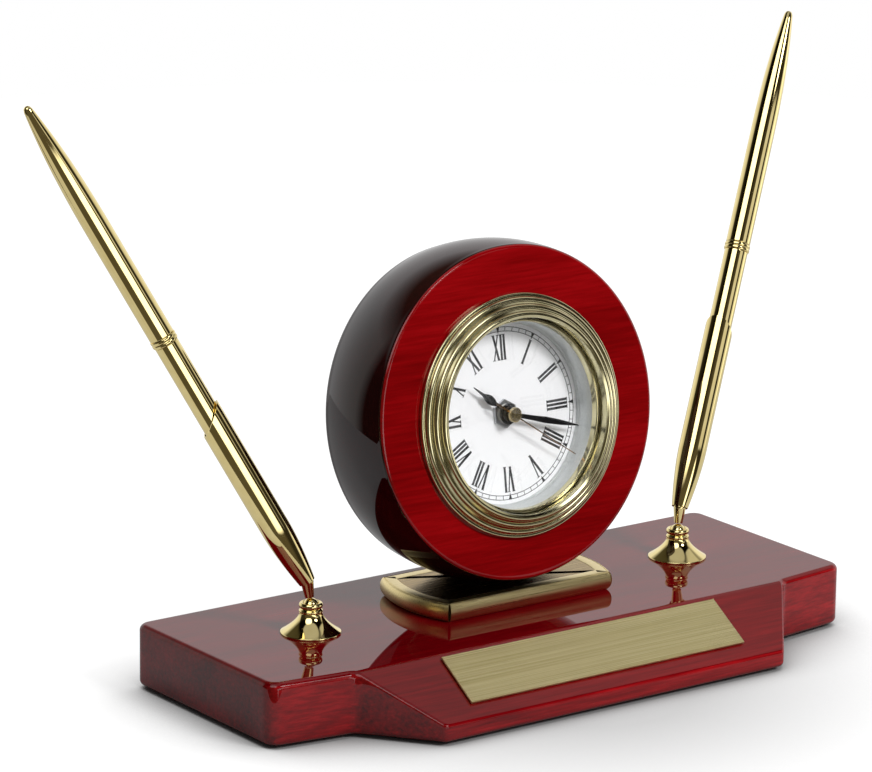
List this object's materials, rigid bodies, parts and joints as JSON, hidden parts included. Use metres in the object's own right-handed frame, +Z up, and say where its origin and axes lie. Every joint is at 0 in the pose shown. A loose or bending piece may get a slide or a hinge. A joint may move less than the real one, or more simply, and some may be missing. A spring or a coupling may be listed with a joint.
{
  "type": "desk clock pen set",
  "caption": "Desk set: gloss wooden stand with a bare nameplate, a round quartz clock leaning on a brass plinth, and gold pens in swivel holders on its wings.",
  "frame": {"origin": "on the supporting surface, midway between the ends of the slab and midway between its lip and its rear edge, at the middle of the felt's underside", "axes": "+Z up; +X to the right of a person who faces the clock, along the slab; -Y towards that person"},
  "size_m": [0.271, 0.0949, 0.1705],
  "materials": {
    "rosewood": "red-brown rosewood under high-gloss clear lacquer",
    "felt": "dark green felt",
    "brushed_brass": "straight-brushed brass plate, lacquered",
    "antique_brass": "brushed brass with a brown-gold tone",
    "polished_gold": "polished gold plating on brass",
    "bezel_gold": "polished pale gold plating on stepped brass",
    "copper_gold": "polished warm gold",
    "steel": "bright zinc-plated or plain steel",
    "silver": "silver-coated sloping ring",
    "dial_white": "matt white dial print",
    "black_paint": "satin black paint",
    "clear_lens": "clear polished lens",
    "black_plastic": "black moulded plastic",
    "white_plastic": "off-white moulded plastic",
    "green_board": "green circuit board",
    "copper_wire": "enamelled copper wire",
    "black_rubber": "black rubber band"
  },
  "bodies": {
    "base": {"base_block": "rosewood", "felt_pad": "felt", "nameplate": "brushed_brass", "plinth_plate": "antique_brass", "plinth_front_moulding": "antique_brass", "plinth_rear_moulding": "antique_brass", "plinth_left_moulding": "antique_brass", "plinth_right_moulding": "antique_brass", "clock_case": "rosewood", "case_screw_left": "steel", "case_screw_right": "steel", "left_bell": "polished_gold", "right_bell": "polished_gold", "left_stud": "steel", "right_stud": "steel", "left_washer": "steel", "right_washer": "steel", "left_nut": "steel", "right_nut": "steel"},
    "insert": {"bezel": "bezel_gold", "lens": "clear_lens", "reflector_ring": "silver", "dial": "dial_white", "dial_nut": "copper_gold", "insert_cup": "black_plastic", "rubber_band": "black_rubber", "movement_case": "white_plastic", "movement_cover": "white_plastic", "circuit_board": "green_board", "quartz_crystal": "steel", "motor_coil": "copper_wire", "button_cell": "steel", "cell_strap": "steel"},
    "minute": {"minute_hand": "black_paint", "cannon_pinion": "steel"},
    "hour": {"hour_hand": "black_paint", "hour_wheel": "steel"},
    "setting": {"set_wheel": "white_plastic", "set_knob": "black_plastic"},
    "second": {"second_hand": "copper_gold", "hand_cap": "copper_gold", "second_wheel": "steel"},
    "left_swivel": {"left_ball": "polished_gold"},
    "left_holder": {"left_stem": "polished_gold", "left_sleeve": "polished_gold"},
    "left_pen": {"left_pen_nose": "polished_gold", "left_pen_lower_barrel": "polished_gold", "left_pen_ring": "polished_gold", "left_pen_upper_barrel": "polished_gold", "left_pen_refill": "copper_gold"},
    "right_swivel": {"right_ball": "polished_gold"},
    "right_holder": {"right_stem": "polished_gold", "right_sleeve": "polished_gold"},
    "right_pen": {"right_pen_nose": "polished_gold", "right_pen_lower_barrel": "polished_gold", "right_pen_ring": "polished_gold", "right_pen_upper_barrel": "polished_gold", "right_pen_refill": "copper_gold"}
  },
  "joints": [
    {"name": "insert_pull", "type": "slide", "parent": "base", "child": "insert", "axis": [0, -0.9885, 0.1513], "range_m": [0, 0.03]},
    {"name": "minute_turn", "type": "hinge", "parent": "insert", "child": "minute", "pos_m": [0, 0.00254, 0.07401], "axis": [0, 0.9885, -0.1513], "continuous": true},
    {"name": "hour_turn", "type": "hinge", "parent": "insert", "child": "hour", "pos_m": [0, 0.00254, 0.07401], "axis": [0, 0.9885, -0.1513], "continuous": true},
    {"name": "setting_turn", "type": "hinge", "parent": "insert", "child": "setting", "pos_m": [0, 0.00145, 0.06689], "axis": [0, 0.9885, -0.1513], "continuous": true},
    {"name": "second_turn", "type": "hinge", "parent": "insert", "child": "second", "pos_m": [0, 0.00254, 0.07401], "axis": [0, 0.9885, -0.1513], "continuous": true},
    {"name": "left_swivel_turn", "type": "hinge", "parent": "base", "child": "left_swivel", "pos_m": [-0.06595, 0.0107, 0.0268], "axis": [0, 0, -1], "range_deg": [-75, 75]},
    {"name": "left_tilt", "type": "hinge", "parent": "left_swivel", "child": "left_holder", "pos_m": [-0.06595, 0.0107, 0.0268], "axis": [-0.4756, -0.8796, 0], "range_deg": [-30, 25]},
    {"name": "left_pen_lift", "type": "slide", "parent": "left_holder", "child": "left_pen", "axis": [-0.4332, 0.2342, 0.8704], "range_m": [0, 0.06]},
    {"name": "right_swivel_turn", "type": "hinge", "parent": "base", "child": "right_swivel", "pos_m": [0.06595, 0.0107, 0.0268], "axis": [0, 0, 1], "range_deg": [-75, 75]},
    {"name": "right_tilt", "type": "hinge", "parent": "right_swivel", "child": "right_holder", "pos_m": [0.06595, 0.0107, 0.0268], "axis": [-0.4756, 0.8796, 0], "range_deg": [-30, 25]},
    {"name": "right_pen_lift", "type": "slide", "parent": "right_holder", "child": "right_pen", "axis": [0.4332, 0.2342, 0.8704], "range_m": [0, 0.06]}
  ],
  "couplings": [
    {"joint": "hour_turn", "follows": "minute_turn", "ratio": 0.083333},
    {"joint": "setting_turn", "follows": "minute_turn", "ratio": -0.33333}
  ]
}
